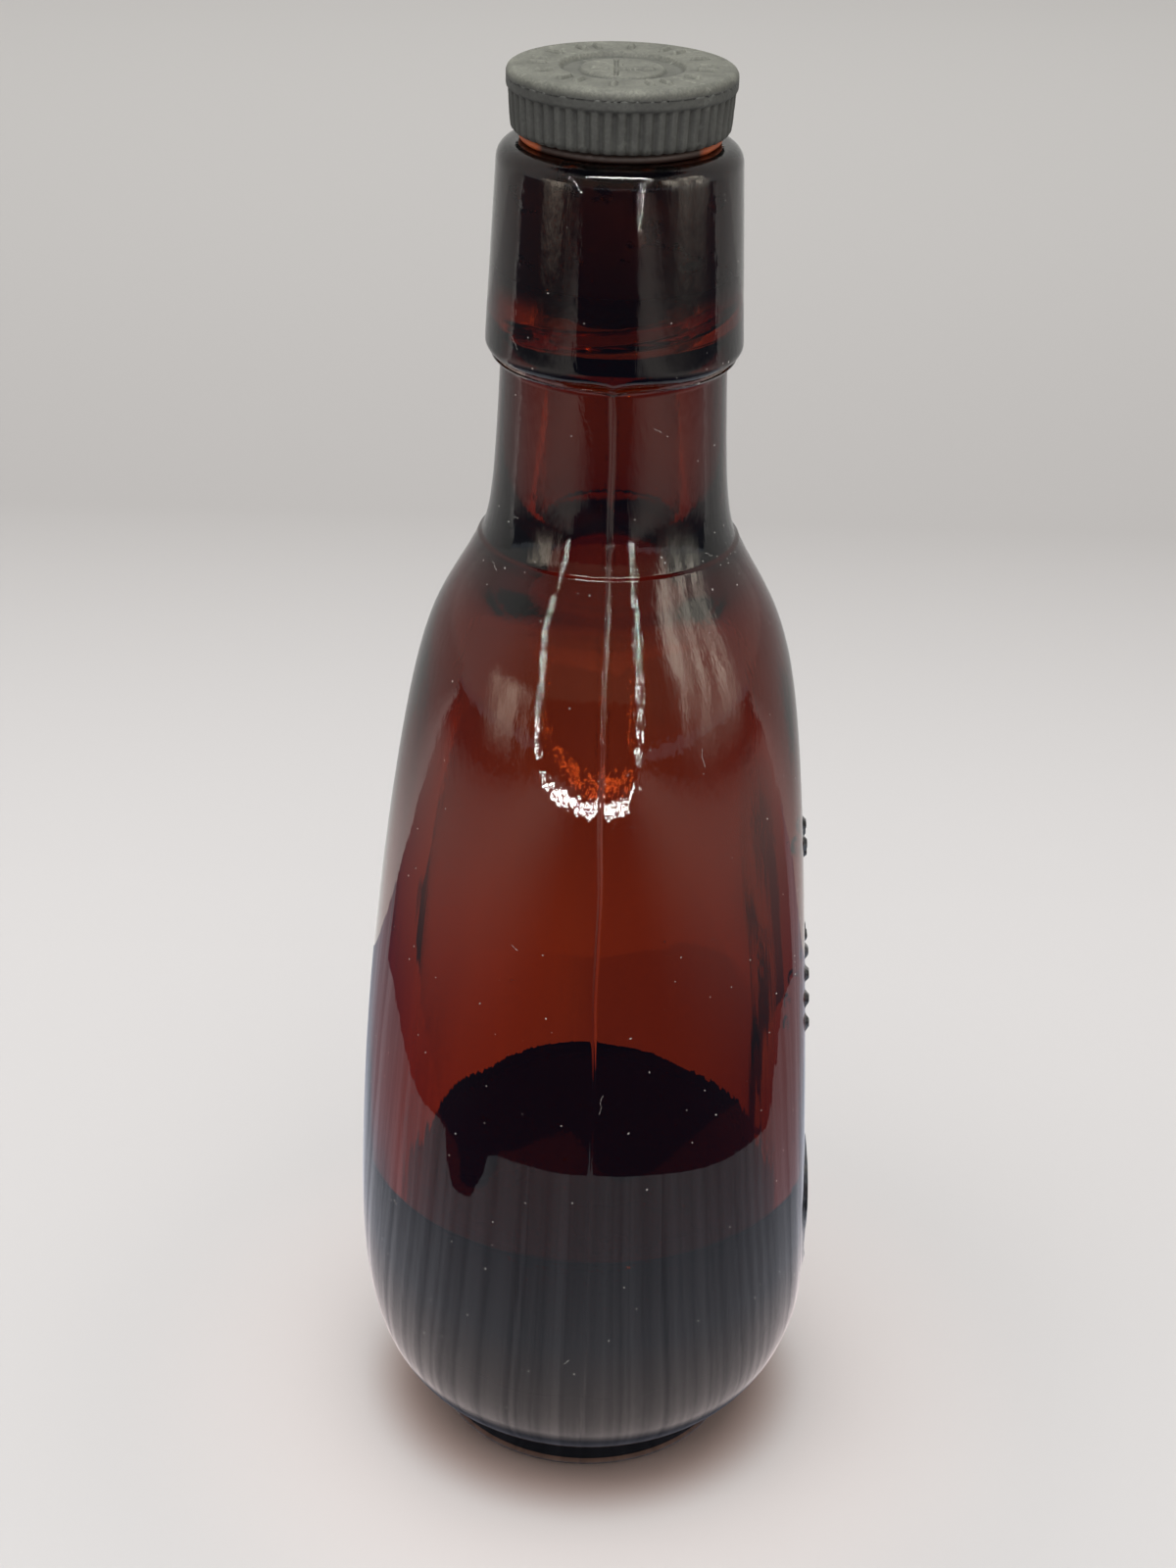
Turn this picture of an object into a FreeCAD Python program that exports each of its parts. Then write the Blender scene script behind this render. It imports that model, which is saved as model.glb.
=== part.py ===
import FreeCAD, Part
import math
import os
import re

import Sketcher
from FreeCAD import Placement, Rotation, Vector

# An amber glass bottle with a screw stopper, some drink left in it, and a flattened panel on its front.
# Frame: millimetres, +Z up, origin on the bottle's axis in the plane that its foot stands on.
# The flattened panel faces -Y, and the mould seams of the real glass lie at +X and -X.

SIZES = {
    # outside of the glass, from the foot up, in bends: a rise is counted from the bend below, an inset
    # in from the belly's radius, and a flare out from the neck's radius
    "foot_radius": (23.3, "outer radius of the foot ring"),
    "foot_height": (4.6, "height of the foot ring's upright side"),
    "foot_seat_width": (4.3, "width of the flat ring that the bottle stands on"),
    "foot_hollow_radius": (12.0, "radius of the flat middle of the hollow under the base"),
    "foot_hollow_rise": (2.2, "height of that hollow"),
    "foot_edge": (1.2, "rounding of the foot's outer edge"),
    "heel_inset": (5.5, "inset of the bend above the foot"),
    "heel_rise": (3.4, "rise of the bend above the foot"),
    "bulge_inset": (0.2, "inset of the bend at the bottom of the belly"),
    "bulge_rise": (12.0, "rise of the bend at the bottom of the belly"),
    "belly_radius": (35.7, "radius of the bend at the belly"),
    "belly_rise": (24.0, "rise of the bend at the belly"),
    "flank_inset": (1.8, "inset of the bend half way up the body"),
    "flank_rise": (36.0, "rise of the bend half way up the body"),
    "shoulder_inset": (7.0, "inset of the bend under the shoulder"),
    "shoulder_rise": (40.0, "rise of the bend under the shoulder"),
    "turn_inset": (11.3, "inset of the bend where the shoulder turns in"),
    "turn_rise": (18.0, "rise of the bend where the shoulder turns in"),
    "nape_flare": (1.2, "flare of the bend where the shoulder meets the neck"),
    "nape_rise": (8.0, "rise of the bend where the shoulder meets the neck"),
    "neck_low_flare": (0.6, "flare of the lower neck's bend"),
    "neck_low_rise": (10.0, "rise of the lower neck's bend"),
    "collar_rise": (16.6, "rise of the collar's underside"),
    "collar_ledge": (0.2, "width of the flat ledge under the collar, inside its rounding"),
    "collar_edge": (1.9, "rounding of the collar's lower edge"),
    "collar_taper": (1.4, "how much narrower the collar's radius is at the lip"),
    "collar_height": (28.8, "height of the collar"),
    "lip_edge": (2.6, "rounding of the lip's outer edge"),
    "mouth_edge": (0.8, "rounding of the lip's inner edge"),
    # inside of the glass
    "wall": (6.8, "thickness of the body's wall"),
    "base_thickness": (10.8, "thickness of the glass over the hollow under the base"),
    "cavity_flat": (19.0, "radius of the nearly flat floor of the inside"),
    "throat_radius": (8.6, "radius of the inside of the neck under the collar"),
    "neck_wall": (6.8, "thickness of the neck's wall"),
    "bore_step": (2.5, "how much wider than the throat the threaded bore's radius is"),
    "bore_cone": (3.6, "height of the cone between the throat and the bore"),
    "bore_room": (1.8, "room in the bore below the end of the stopper"),
    # flattened front and its plain relief
    "panel_depth": (3.9, "depth of the panel's middle inside the belly's radius"),
    "panel_rise": (23.0, "height of the panel's middle above the bend at the belly"),
    "panel_lean": (3.3, "lean of the panel, in degrees"),
    "relief_height": (0.6, "height of the relief above the panel"),
    "medallion_rise": (-31.0, "place of the raised ring's middle up the panel from its middle"),
    "medallion_radius": (10.6, "outer radius of the raised ring"),
    "medallion_band": (1.5, "width of the raised ring"),
    "diamond_half": (4.4, "half the height of the diamond inside the ring"),
    "bead_radius": (0.9, "radius of one bead"),
    "arch_rise": (7.0, "place of the arch of beads up the panel from its middle"),
    "arch_radius": (9.5, "radius of the arch of beads"),
    "arch_angle": (180.0, "angle that the arch of beads spans, in degrees"),
    "arch_beads": (9, "number of beads in the arch"),
    "cluster_rise": (33.0, "place of the small top cluster up the panel from its middle"),
    "cluster_radius": (2.2, "radius of the circle of beads in the cluster"),
    "cluster_beads": (4, "number of beads in the cluster"),
    # screw thread, and the plain play between the two threads
    "thread_pitch": (7.4, "rise of the thread in one turn"),
    "thread_bite": (0.5, "how deep the foot of a thread reaches into its own wall"),
    "glass_thread_depth": (2.0, "how far the glass thread stands into the bore"),
    "glass_thread_foot": (1.5, "half the width of the glass thread at its foot"),
    "glass_thread_crest": (0.7, "half the width of the glass thread at its crest"),
    "glass_thread_rise": (14.0, "height that the glass thread climbs"),
    "screw_play": (1.2, "gap between the stopper's thread and the bore"),
    "screw_start": (2.0, "how far above the shank's end the stopper's thread starts"),
    "screw_foot": (1.7, "half the width of the stopper's thread at its foot"),
    "screw_crest": (0.8, "half the width of the stopper's thread at its crest"),
    "screw_rise": (12.0, "height that the stopper's thread climbs"),
    # stopper
    "head_reach": (3.9, "how far the head's plain top band reaches out past the bore"),
    "head_height": (8.8, "height of the head"),
    "head_edge": (0.7, "rounding of the head's edges"),
    "band_height": (2.4, "height of the plain band over the ribs"),
    "rib_top_inset": (0.3, "inset of the ribs under the plain band"),
    "rib_foot_inset": (0.65, "inset of the ribs at the head's underside"),
    "rib_count": (53, "number of ribs round the head"),
    "rib_gap": (0.42, "radius of the round gap between two ribs"),
    "rib_gap_inset": (0.2, "distance of a gap's centre in from the top of the ribs"),
    "recess_radius": (8.0, "radius of the round recess in the head's top"),
    "recess_depth": (0.7, "depth of that recess"),
    "boss_inset": (2.6, "gap round the plain disc in the recess"),
    "boss_height": (0.4, "height of that disc"),
    "shank_neck_play": (1.8, "gap between the shank under the head and the bore"),
    "shank_neck_height": (5.2, "height of that thicker stretch"),
    "shank_play": (2.1, "gap between the shank's core and the glass thread"),
    "shank_length": (24.6, "length of the shank below the head"),
    "shank_edge": (1.4, "rounding of the shank's end"),
    # rubber seal
    "seal_thickness": (1.2, "thickness of the rubber seal"),
    "seal_inset": (0.1, "inset of the rubber seal from the edge of the lip's flat ring"),
    "seal_clearance": (0.4, "gap between the seal and the shank"),
    # what is left of the drink
    "drink_level": (45.5, "height of the drink's surface"),
    "drink_gap": (0.15, "gap between the drink and the glass"),
    # how far a cutting tool stands past the face that it starts from
    "cut_margin": (2.0, "overrun of a cut past the outer face"),
}

# levels of the glass, each worked out from the one below
HEEL = "foot_height + heel_rise"
BULGE = f"{HEEL} + bulge_rise"
BELLY = f"{BULGE} + belly_rise"
FLANK = f"{BELLY} + flank_rise"
SHOULDER = f"{FLANK} + shoulder_rise"
TURN = f"{SHOULDER} + turn_rise"
NAPE = f"{TURN} + nape_rise"
NECK_LOW = f"{NAPE} + neck_low_rise"
COLLAR = f"{NECK_LOW} + collar_rise"
LIP = f"{COLLAR} + collar_height"
CAVITY_FLOOR = "foot_hollow_rise + base_thickness"
PANEL_MIDDLE = f"{BELLY} + panel_rise"

# levels of the stopper, the two threads and the foot of the bore, each from what it seats on or clears
UNDERSIDE = f"{LIP} + seal_thickness"
HEAD_TOP = f"{UNDERSIDE} + head_height"
BAND_FOOT = f"{HEAD_TOP} - band_height"
SHANK_STEP = f"{UNDERSIDE} - shank_neck_height"
SHANK_END = f"{UNDERSIDE} - shank_length"
SCREW_LEVEL = f"{SHANK_END} + screw_start"
GLASS_THREAD_LEVEL = f"{SCREW_LEVEL} - 0.5*thread_pitch"
BORE_FOOT = f"{SHANK_END} - bore_room"
CONE_FOOT = f"{BORE_FOOT} - bore_cone"

# radii round the neck and the stopper
NECK_RADIUS = "throat_radius + neck_wall"
COLLAR_RADIUS = f"{NECK_RADIUS} + collar_ledge + collar_edge"
LIP_RADIUS = f"{COLLAR_RADIUS} - collar_taper"
BORE_RADIUS = "throat_radius + bore_step"
HEAD_RADIUS = f"{BORE_RADIUS} + head_reach"
RIB_TOP_RADIUS = f"{HEAD_RADIUS} - rib_top_inset"
RIB_FOOT_RADIUS = f"{HEAD_RADIUS} - rib_foot_inset"
SHANK_NECK_RADIUS = f"{BORE_RADIUS} - shank_neck_play"
SHANK_RADIUS = f"{BORE_RADIUS} - glass_thread_depth - shank_play"
SCREW_RADIUS = f"{BORE_RADIUS} - screw_play"
SEAL_RADIUS = f"{LIP_RADIUS} - lip_edge - seal_inset"

SAME = 0.01  # two points nearer than this are one

os.makedirs("parts", exist_ok=True)
doc = FreeCAD.newDocument("amber_bottle")
sheet = doc.addObject("Spreadsheet::Sheet", "sizes")
for row, (alias, (value, meaning)) in enumerate(SIZES.items(), start=1):
    sheet.set(f"A{row}", str(value))
    sheet.setAlias(f"A{row}", alias)
    sheet.set(f"B{row}", meaning)
doc.recompute()


def number(text):
    """The present value of a sum of the sheet's names, such as "belly_radius - 0.5*wall"."""
    total = 0.0
    sign = 1.0
    for word in (text or "").split():
        if word in "+-":
            sign = 1.0 if word == "+" else -1.0
            continue
        share, _, alias = word.rpartition("*")
        total += sign * float(share or 1) * float(sheet.get(alias))
    return total


def bound(text):
    """The same sum as an expression that a property can be bound to."""
    return re.sub(r"[a-z][a-z_]*", r"sizes.\g<0>", text)


def new_body(label):
    body = doc.addObject("PartDesign::Body", label)
    body.Label = label
    return body


def new_sketch(body, name, role="XZ_Plane", level=None):
    """A sketch on one of the body's own origin planes, lifted off it by a bound distance."""
    sketch = body.newObject("Sketcher::SketchObject", name)
    plane = next(feature for feature in body.Origin.OriginFeatures if feature.Role == role)
    sketch.AttachmentSupport = (plane, [""])
    sketch.MapMode = "FlatFace"
    if level:
        sketch.setExpression(".AttachmentOffset.Base.z", bound(level))
    return sketch


def panel_sketch(body, name, rise=None):
    """A sketch in the panel's leaning plane, its normal outward, its origin this far up the panel."""
    sketch = new_sketch(body, name)
    sketch.AttachmentOffset = Placement(Vector(0, 1, 1), Rotation(Vector(1, 0, 0), -1))
    along = bound(rise) if rise else "0"
    up = f"{bound(PANEL_MIDDLE)} + {along} * cos(sizes.panel_lean * 1deg)"
    out = f"{bound('belly_radius - panel_depth')} - {along} * sin(sizes.panel_lean * 1deg)"
    sketch.setExpression(".AttachmentOffset.Base.y", up)
    sketch.setExpression(".AttachmentOffset.Base.z", out)
    sketch.setExpression(".AttachmentOffset.Rotation.Angle", "-1 * sizes.panel_lean")
    return sketch


def bind(sketch, constraint, text):
    """Adds a driving constraint whose value is bound to a sum of the sheet's names."""
    index = sketch.addConstraint(constraint)
    sketch.setExpression(f"Constraints[{index}]", bound(text))


def place(sketch, geometry, end, x_text, y_text):
    """Ties a point to its x and y, each a sum of the sheet's names, or None on that axis."""
    if x_text is None:
        sketch.addConstraint(Sketcher.Constraint("PointOnObject", geometry, end, -2))
    else:
        bind(sketch, Sketcher.Constraint("DistanceX", -1, 1, geometry, end, number(x_text)), x_text)
    if y_text is None:
        sketch.addConstraint(Sketcher.Constraint("PointOnObject", geometry, end, -1))
    else:
        bind(sketch, Sketcher.Constraint("DistanceY", -1, 1, geometry, end, number(y_text)), y_text)


def start_vector(point):
    return Vector(number(point[0]), number(point[1]), 0)


def draw_outline(sketch, runs):
    """Draws a closed outline. A run of two points is straight, and a longer one is a smooth curve
    that bends at the points between its ends. Each run starts where the last one ended."""
    geometries = []
    for run in runs:
        points = [start_vector(point) for point in run]
        if len(run) == 2:
            geometries.append(sketch.addGeometry(Part.LineSegment(*points), False))
            continue
        curve = Part.BSplineCurve()
        curve.buildFromPoles(points, False, min(3, len(points) - 1))
        geometries.append(sketch.addGeometry(curve, False))
    joints = zip(geometries, geometries[1:] + geometries[:1])
    for geometry, following in joints:
        sketch.addConstraint(Sketcher.Constraint("Coincident", geometry, 2, following, 1))
    for geometry, run in zip(geometries, runs):
        place(sketch, geometry, 1, *run[0])
        if len(run) > 2:
            first_pole = len(sketch.Geometry)
            sketch.exposeInternalGeometry(geometry)
            for step in range(1, len(run) - 1):
                place(sketch, first_pole + step, 3, *run[step])


def draw_polygon(sketch, corners):
    draw_outline(sketch, [list(pair) for pair in zip(corners, corners[1:] + corners[:1])])


def draw_diamond(sketch, half):
    """A square on its corner, round the sketch's origin."""
    reach = number(half)
    corners = [Vector(reach, 0, 0), Vector(0, reach, 0), Vector(-reach, 0, 0), Vector(0, -reach, 0)]
    for corner, following in zip(corners, corners[1:] + corners[:1]):
        sketch.addGeometry(Part.LineSegment(corner, following), False)
    for side in range(4):
        sketch.addConstraint(Sketcher.Constraint("Coincident", side, 2, (side + 1) % 4, 1))
        sketch.addConstraint(Sketcher.Constraint("PointOnObject", side, 1, -1 - side % 2))
    bind(sketch, Sketcher.Constraint("DistanceX", -1, 1, 0, 1, reach), half)
    bind(sketch, Sketcher.Constraint("DistanceY", -1, 1, 1, 1, reach), half)
    bind(sketch, Sketcher.Constraint("DistanceX", 2, 1, -1, 1, reach), half)
    bind(sketch, Sketcher.Constraint("DistanceY", 3, 1, -1, 1, reach), half)


def draw_circle(sketch, radius, x_text=None, y_text=None):
    centre = start_vector((x_text, y_text))
    circle = sketch.addGeometry(Part.Circle(centre, Vector(0, 0, 1), number(radius)), False)
    place(sketch, circle, 3, x_text, y_text)
    bind(sketch, Sketcher.Constraint("Radius", circle, number(radius)), radius)


def turned(body, kind, name, sketch):
    """A full turn of the sketch about the body's axis, added or cut away."""
    feature = body.newObject(f"PartDesign::{kind}", name)
    feature.Profile = sketch
    feature.ReferenceAxis = (sketch, ["V_Axis"])
    feature.Angle = 360
    doc.recompute()
    return feature


def pushed(body, kind, name, sketch, length, backwards=False):
    """A Pad or a Pocket of a bound length, which has to change the solid's volume."""
    before = body.Shape.Volume
    feature = body.newObject(f"PartDesign::{kind}", name)
    feature.Profile = sketch
    feature.Reversed = backwards
    feature.setExpression("Length", bound(length))
    doc.recompute()
    if abs(body.Shape.Volume - before) < SAME:
        raise RuntimeError(f"{name} changes nothing")
    return feature


def polar(body, name, original, sketch, count, angle=None):
    """Copies of a feature round the normal of its sketch, over a bound angle or the full turn."""
    pattern = body.newObject("PartDesign::PolarPattern", name)
    pattern.Originals = [original]
    pattern.Axis = (sketch, ["N_Axis"])
    pattern.Angle = 360
    if angle:
        pattern.setExpression("Angle", bound(angle))
    pattern.setExpression("Occurrences", bound(count))
    body.Tip = pattern
    doc.recompute()
    return pattern


def rounded(body, name, radius, ring_radius, ring_level):
    """Rounds the level edge that runs round the body's axis at a radius and a level."""
    base = body.Tip
    names = []
    for index, edge in enumerate(base.Shape.Edges, start=1):
        corner = edge.Vertexes[0].Point
        ring = Vector(number(ring_radius), 0, number(ring_level))
        found = Vector(math.hypot(corner.x, corner.y), 0, corner.z)
        if edge.BoundBox.ZLength < SAME and found.isEqual(ring, SAME):
            names.append(f"Edge{index}")
    fillet = body.newObject("PartDesign::Fillet", name)
    fillet.Base = (base, names)
    fillet.setExpression("Radius", bound(radius))
    doc.recompute()
    return fillet


def screw(body, name, foot, crest, level, rise):
    """A thread of one tapered tooth that climbs round the body's axis from its +Y side.
    foot and crest are each a radius and half the tooth's width there."""
    sketch = new_sketch(body, f"{name}_tooth", "YZ_Plane")
    draw_polygon(sketch, [
        (foot[0], f"{level} - {foot[1]}"),
        (crest[0], f"{level} - {crest[1]}"),
        (crest[0], f"{level} + {crest[1]}"),
        (foot[0], f"{level} + {foot[1]}"),
    ])
    before = body.Shape.Volume
    helix = body.newObject("PartDesign::AdditiveHelix", name)
    helix.Profile = sketch
    helix.ReferenceAxis = (sketch, ["V_Axis"])
    helix.Mode = "pitch-height-angle"
    helix.setExpression("Pitch", bound("thread_pitch"))
    helix.setExpression("Height", bound(rise))
    doc.recompute()
    if body.Shape.Volume < before + SAME:
        raise RuntimeError(f"{name} adds nothing")
    return helix


def cavity_run(gap=""):
    """The bends of the inside of the glass up to the throat, drawn in by a gap where one is named."""
    inset = f" - {gap}" if gap else ""
    lift = f" + {gap}" if gap else ""
    return [
        (None, f"{CAVITY_FLOOR}{lift}"),
        ("cavity_flat", f"{CAVITY_FLOOR}{lift}"),
        (f"belly_radius - bulge_inset - wall{inset}", f"{BULGE}{lift}"),
        (f"belly_radius - wall{inset}", BELLY),
        (f"belly_radius - flank_inset - wall{inset}", FLANK),
        (f"belly_radius - shoulder_inset - wall{inset}", SHOULDER),
        (f"belly_radius - turn_inset - wall{inset}", TURN),
        (f"throat_radius + nape_flare{inset}", NAPE),
        (f"throat_radius + neck_low_flare{inset}", NECK_LOW),
        (f"throat_radius{inset}", CONE_FOOT),
    ]


def make_glass():
    body = new_body("bottle")
    outside = [
        ("foot_radius", "foot_height"),
        ("belly_radius - heel_inset", HEEL),
        ("belly_radius - bulge_inset", BULGE),
        ("belly_radius", BELLY),
        ("belly_radius - flank_inset", FLANK),
        ("belly_radius - shoulder_inset", SHOULDER),
        ("belly_radius - turn_inset", TURN),
        (f"{NECK_RADIUS} + nape_flare", NAPE),
        (f"{NECK_RADIUS} + neck_low_flare", NECK_LOW),
        (NECK_RADIUS, COLLAR),
    ]
    seat = ("foot_radius - foot_seat_width", None)
    hollow = [(None, "foot_hollow_rise"), ("foot_hollow_radius", "foot_hollow_rise"), seat]
    sketch = new_sketch(body, "glass_outline")
    draw_outline(sketch, [
        hollow,
        [seat, ("foot_radius", None)],
        [("foot_radius", None), ("foot_radius", "foot_height")],
        outside,
        [(NECK_RADIUS, COLLAR), (COLLAR_RADIUS, COLLAR)],
        [(COLLAR_RADIUS, COLLAR), (LIP_RADIUS, LIP)],
        [(LIP_RADIUS, LIP), (None, LIP)],
        [(None, LIP), (None, "foot_hollow_rise")],
    ])
    turned(body, "Revolution", "glass_blank", sketch)
    rounded(body, "foot_rounding", "foot_edge", "foot_radius", None)
    rounded(body, "collar_rounding", "collar_edge", COLLAR_RADIUS, COLLAR)
    rounded(body, "lip_rounding", "lip_edge", LIP_RADIUS, LIP)

    sketch = new_sketch(body, "cavity_outline")
    mouth = f"{LIP} + cut_margin"
    draw_outline(sketch, [
        cavity_run(),
        [("throat_radius", CONE_FOOT), (BORE_RADIUS, BORE_FOOT)],
        [(BORE_RADIUS, BORE_FOOT), (BORE_RADIUS, mouth)],
        [(BORE_RADIUS, mouth), (None, mouth)],
        [(None, mouth), (None, CAVITY_FLOOR)],
    ])
    turned(body, "Groove", "cavity", sketch)
    rounded(body, "mouth_rounding", "mouth_edge", BORE_RADIUS, LIP)
    screw(
        body,
        "glass_thread",
        (f"{BORE_RADIUS} + thread_bite", "glass_thread_foot"),
        (f"{BORE_RADIUS} - glass_thread_depth", "glass_thread_crest"),
        GLASS_THREAD_LEVEL,
        "glass_thread_rise",
    )
    flatten_front(body)
    add_relief(body)
    return body


def flatten_front(body):
    """Cuts the front of the body off along the panel's plane."""
    sketch = panel_sketch(body, "panel_outline")
    reach = start_vector(("belly_radius", LIP))
    corners = [Vector(x * reach.x, y * reach.y, 0) for x, y in ((-1, -1), (1, -1), (1, 1), (-1, 1))]
    for corner, following in zip(corners, corners[1:] + corners[:1]):
        sketch.addGeometry(Part.LineSegment(corner, following), False)
    for side in range(4):
        sketch.addConstraint(Sketcher.Constraint("Coincident", side, 2, (side + 1) % 4, 1))
        sketch.addConstraint(Sketcher.Constraint(("Horizontal", "Vertical")[side % 2], side))
    sketch.addConstraint(Sketcher.Constraint("Symmetric", 0, 1, 1, 2, -1, 1))
    place(sketch, 1, 2, "belly_radius", LIP)
    pushed(body, "Pocket", "panel", sketch, "belly_radius", backwards=True)


def add_relief(body):
    """Plain raised shapes on the panel: a ring round a diamond, an arch of beads and a cluster."""
    sketch = panel_sketch(body, "ring_outline", "medallion_rise")
    draw_circle(sketch, "medallion_radius")
    draw_circle(sketch, "medallion_radius - medallion_band")
    pushed(body, "Pad", "ring", sketch, "relief_height")

    sketch = panel_sketch(body, "diamond_outline", "medallion_rise")
    draw_diamond(sketch, "diamond_half")
    pushed(body, "Pad", "diamond", sketch, "relief_height")

    sketch = panel_sketch(body, "arch_outline", "arch_rise")
    draw_circle(sketch, "bead_radius", "arch_radius")
    bead = pushed(body, "Pad", "arch_bead", sketch, "relief_height")
    polar(body, "arch", bead, sketch, "arch_beads", "arch_angle")

    sketch = panel_sketch(body, "cluster_outline", "cluster_rise")
    draw_circle(sketch, "bead_radius", "cluster_radius")
    bead = pushed(body, "Pad", "cluster_bead", sketch, "relief_height")
    polar(body, "cluster", bead, sketch, "cluster_beads")


def make_stopper():
    body = new_body("stopper")
    sketch = new_sketch(body, "stopper_outline")
    draw_polygon(sketch, [
        (None, SHANK_END),
        (SHANK_RADIUS, SHANK_END),
        (SHANK_RADIUS, SHANK_STEP),
        (SHANK_NECK_RADIUS, SHANK_STEP),
        (SHANK_NECK_RADIUS, UNDERSIDE),
        (RIB_FOOT_RADIUS, UNDERSIDE),
        (RIB_TOP_RADIUS, BAND_FOOT),
        (HEAD_RADIUS, BAND_FOOT),
        (HEAD_RADIUS, HEAD_TOP),
        (None, HEAD_TOP),
    ])
    turned(body, "Revolution", "stopper_blank", sketch)
    rounded(body, "top_rounding", "head_edge", HEAD_RADIUS, HEAD_TOP)
    rounded(body, "underside_rounding", "head_edge", RIB_FOOT_RADIUS, UNDERSIDE)
    rounded(body, "shank_rounding", "shank_edge", SHANK_RADIUS, SHANK_END)

    sketch = new_sketch(body, "recess_outline", "XY_Plane", HEAD_TOP)
    draw_circle(sketch, "recess_radius")
    pushed(body, "Pocket", "recess", sketch, "recess_depth")
    sketch = new_sketch(body, "boss_outline", "XY_Plane", f"{HEAD_TOP} - recess_depth")
    draw_circle(sketch, "recess_radius - boss_inset")
    pushed(body, "Pad", "boss", sketch, "boss_height")

    screw(
        body,
        "stopper_thread",
        (f"{SHANK_RADIUS} - thread_bite", "screw_foot"),
        (SCREW_RADIUS, "screw_crest"),
        SCREW_LEVEL,
        "screw_rise",
    )
    sketch = new_sketch(body, "rib_gap_outline", "XY_Plane", BAND_FOOT)
    draw_circle(sketch, "rib_gap", f"{RIB_TOP_RADIUS} - rib_gap_inset")
    gap = pushed(body, "Pocket", "rib_gap", sketch, "head_height")
    polar(body, "ribs", gap, sketch, "rib_count")
    return body


def make_seal():
    body = new_body("seal_ring")
    inside = f"{SHANK_NECK_RADIUS} + seal_clearance"
    sketch = new_sketch(body, "seal_outline")
    draw_polygon(sketch, [
        (inside, LIP),
        (SEAL_RADIUS, LIP),
        (SEAL_RADIUS, UNDERSIDE),
        (inside, UNDERSIDE),
    ])
    turned(body, "Revolution", "seal", sketch)
    return body


def make_drink():
    body = new_body("drink")
    run = cavity_run("drink_gap")
    top = (None, CONE_FOOT)
    sketch = new_sketch(body, "drink_outline")
    draw_outline(sketch, [run, [run[-1], top], [top, run[0]]])
    turned(body, "Revolution", "drink_blank", sketch)
    sketch = new_sketch(body, "surface_outline", "XY_Plane", "drink_level")
    draw_circle(sketch, "belly_radius")
    pushed(body, "Pocket", "surface", sketch, COLLAR, backwards=True)
    return body


bodies = [make_glass(), make_stopper(), make_seal(), make_drink()]
doc.recompute()
for item in doc.Objects:
    if "Invalid" in item.State or "Error" in item.State:
        raise RuntimeError(f"{item.Name} failed: {item.State}")
for body in bodies:
    if body.Shape.isNull() or not body.Shape.isValid() or len(body.Shape.Solids) != 1:
        raise RuntimeError(f"{body.Label} isn't one sound solid")
for body in bodies:
    body.Shape.exportStep(f"parts/{body.Label}.step")
    print(f"{body.Label}: {body.Shape.Volume:.0f} mm3")
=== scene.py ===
"""Looks of the amber glass bottle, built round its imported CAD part.

Metres, Z up, the CAD frame: the axis of the bottle is Z, its foot stands on the plane z = 0, the flattened
front faces -Y and the mould seams lie at -X and +X. Outlines are written in millimetres and scaled once.
"""

import math
import random

import bmesh
import bpy
import numpy as np
from mathutils import Matrix, Vector, noise


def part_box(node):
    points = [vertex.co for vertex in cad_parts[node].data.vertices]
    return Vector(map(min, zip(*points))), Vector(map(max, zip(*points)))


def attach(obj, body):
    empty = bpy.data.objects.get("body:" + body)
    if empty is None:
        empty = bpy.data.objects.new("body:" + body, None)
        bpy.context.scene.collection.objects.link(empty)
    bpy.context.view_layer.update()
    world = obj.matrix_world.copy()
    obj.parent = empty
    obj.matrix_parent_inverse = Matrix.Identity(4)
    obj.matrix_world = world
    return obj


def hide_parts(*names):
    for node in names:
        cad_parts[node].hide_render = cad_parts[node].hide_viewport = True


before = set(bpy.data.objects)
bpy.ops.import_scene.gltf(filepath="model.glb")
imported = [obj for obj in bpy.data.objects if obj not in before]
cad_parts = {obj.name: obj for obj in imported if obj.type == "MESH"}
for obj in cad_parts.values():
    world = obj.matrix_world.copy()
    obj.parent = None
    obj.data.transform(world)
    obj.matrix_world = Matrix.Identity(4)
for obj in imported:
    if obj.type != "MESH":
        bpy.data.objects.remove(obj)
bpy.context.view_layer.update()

MM = 0.001
TURN = 2 * math.pi


def top_of(node):
    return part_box(node)[1][2] / MM


def foot_of(node):
    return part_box(node)[0][2] / MM


# ---------------------------------------------------------------- sizes, in millimetres

LIP = top_of("bottle")
UNDERSIDE = top_of("seal_ring")
HEAD_TOP = top_of("stopper")
SHANK_END = foot_of("stopper")
DRINK_LEVEL = top_of("drink")

# the outside's bends, as (radius, level), from the foot ring to the underside of the collar
FOOT = (23.3, 4.6)
COLLAR_LEVEL = LIP - 28.8
OUTSIDE = [
    FOOT, (30.2, 8.0), (35.5, 20.0), (35.7, 44.0), (33.9, 80.0), (28.7, 120.0), (24.4, 138.0),
    (16.6, 146.0), (16.0, 156.0), (15.4, COLLAR_LEVEL),
]
COLLAR_RADIUS = 17.5
LIP_RADIUS = 16.1
HOLLOW_FOOT = [(0, 2.2), (12, 2.2, 8), (19, 0, 2), (FOOT[0], 0, 1.2), FOOT]
WALL = 6.8
THROAT = 8.6
THROAT_LEVEL = COLLAR_LEVEL
BORE = 11.1
BORE_LEVEL = COLLAR_LEVEL + 3.6
BORE_STRAIGHT = LIP - 6
CAVITY_FLOOR = 13.0
CAVITY_FLAT = 19.0
INNER_NAPE = [(19.6, 131.5), (15.0, 137.5), (9.2, 139.0), (8.8, 145.0)]  # the ledge under the bore
NAPE_BENDS = slice(4, 6)  # the inside's bends in whose place the ledge's stand

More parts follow.
